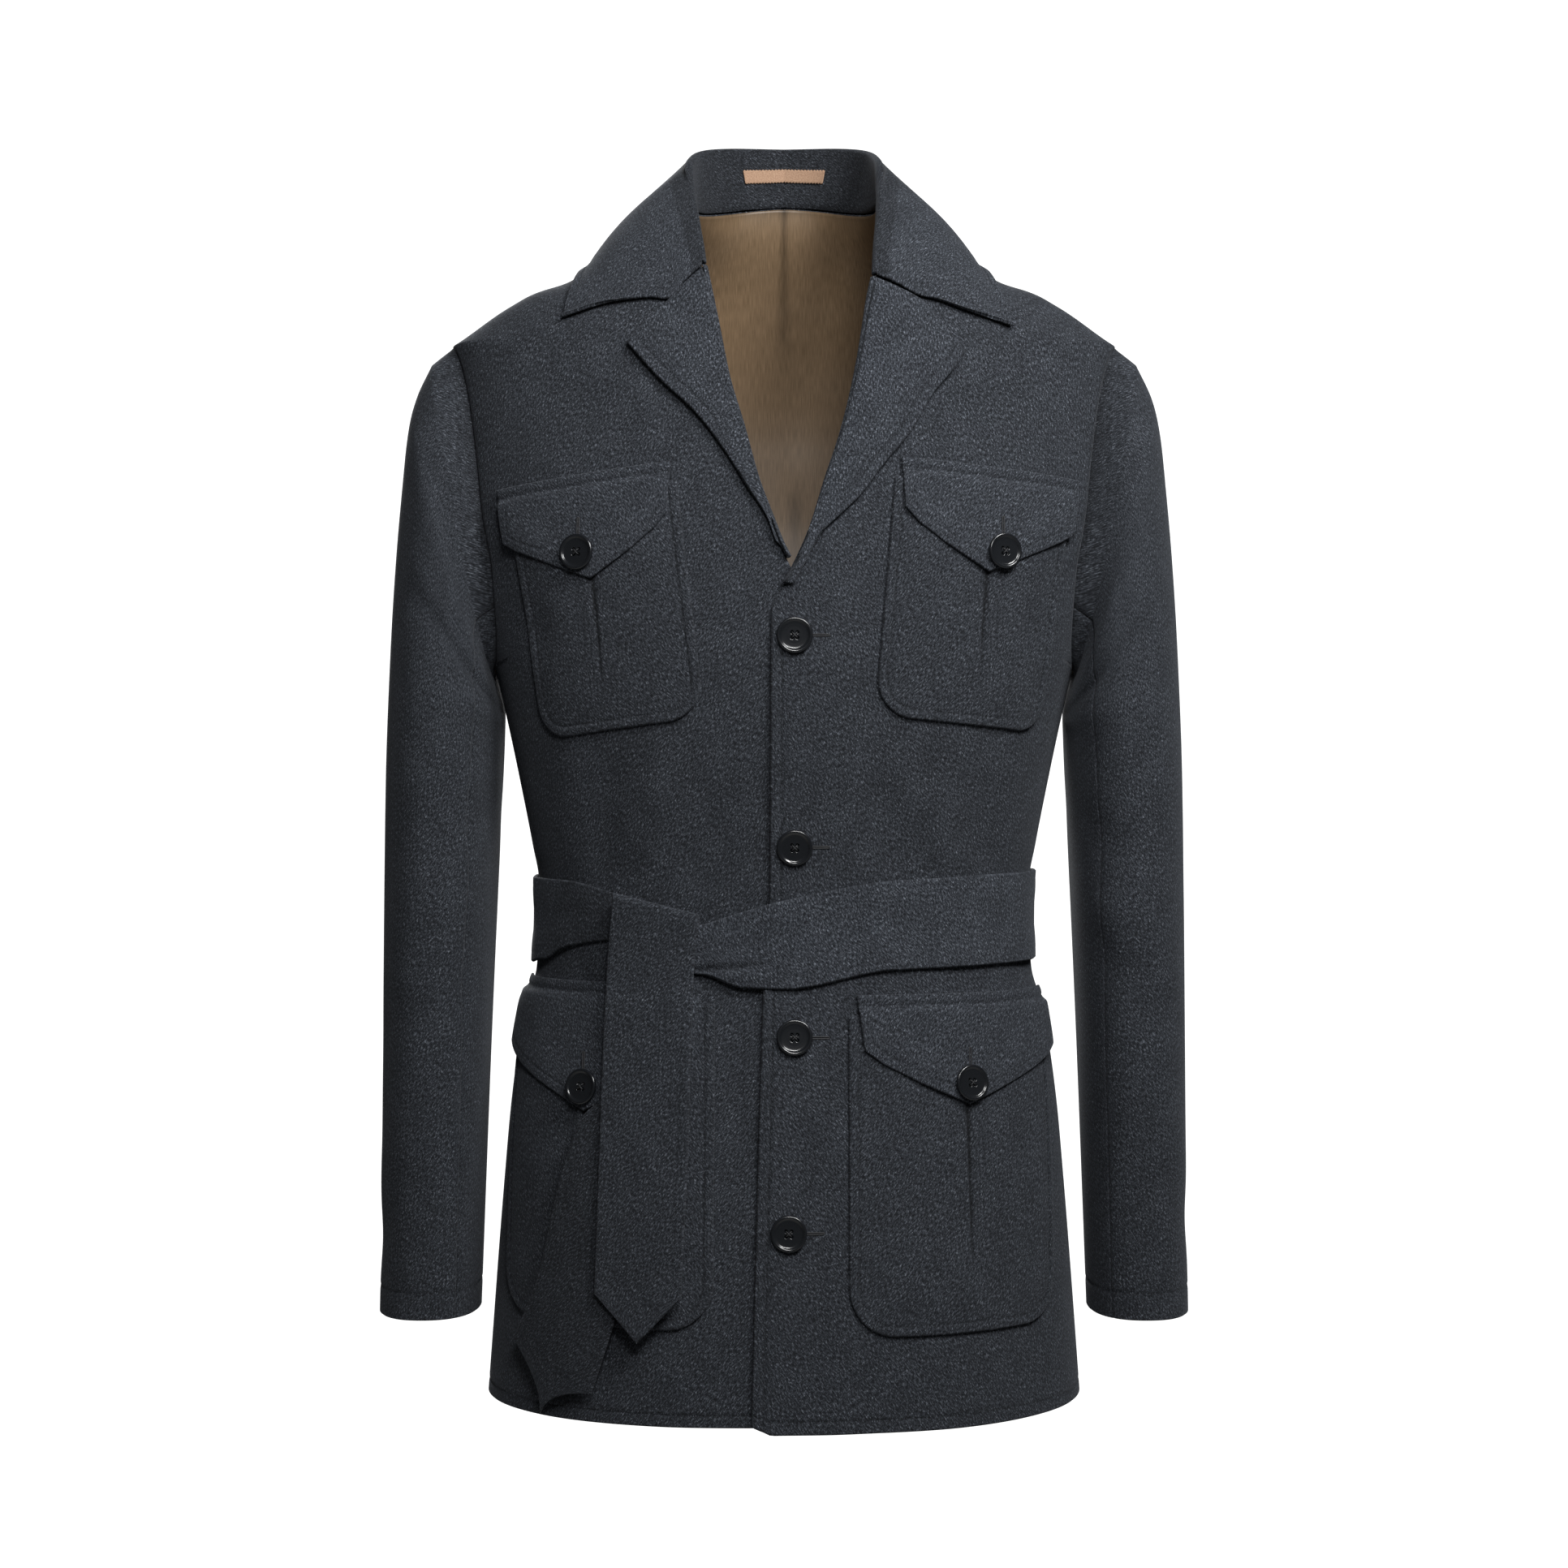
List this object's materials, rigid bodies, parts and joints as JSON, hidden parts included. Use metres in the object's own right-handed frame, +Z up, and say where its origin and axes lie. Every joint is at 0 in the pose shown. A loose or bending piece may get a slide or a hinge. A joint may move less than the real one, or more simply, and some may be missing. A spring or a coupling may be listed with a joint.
{
  "type": "safari jacket",
  "caption": "Belted safari jacket in dark wool flannel with notch collar, flapped patch pockets and a tie belt, filled out as worn and hollow, open at neck, hem and cuffs.",
  "frame": {"origin": "midway between the two points where shoulder seam and collar meet, where the wearer holds the jacket up", "axes": "+Z up, -Y the way the jacket's front faces, +X to the wearer's left"},
  "size_m": [0.541, 0.2897, 0.8558],
  "materials": {
    "wool_flannel": "matt, fulled",
    "lining_satin": "satin",
    "woven_tape": "ribbed",
    "button_black": "polished"
  },
  "bodies": {
    "root": {"back": "wool_flannel", "front_left": "wool_flannel", "front_right": "wool_flannel", "lapel_left": "wool_flannel", "lapel_right": "wool_flannel", "sleeve_left_top": "wool_flannel", "sleeve_left_under": "wool_flannel", "sleeve_right_top": "wool_flannel", "sleeve_right_under": "wool_flannel", "collar": "wool_flannel", "pocket_chest_left": "wool_flannel", "pocket_chest_right": "wool_flannel", "pocket_hip_left": "wool_flannel", "pocket_hip_right": "wool_flannel", "flap_chest_left": "wool_flannel", "flap_chest_right": "wool_flannel", "flap_hip_left": "wool_flannel", "flap_hip_right": "wool_flannel", "belt_waist": "wool_flannel", "belt_tail_front": "wool_flannel", "belt_tail_under": "wool_flannel", "lining_back": "lining_satin", "hanger_tape": "woven_tape", "button_front_1": "button_black", "button_front_2": "button_black", "button_front_3": "button_black", "button_front_4": "button_black", "button_chest_left": "button_black", "button_chest_right": "button_black", "button_hip_left": "button_black", "button_hip_right": "button_black"}
  },
  "joints": []
}
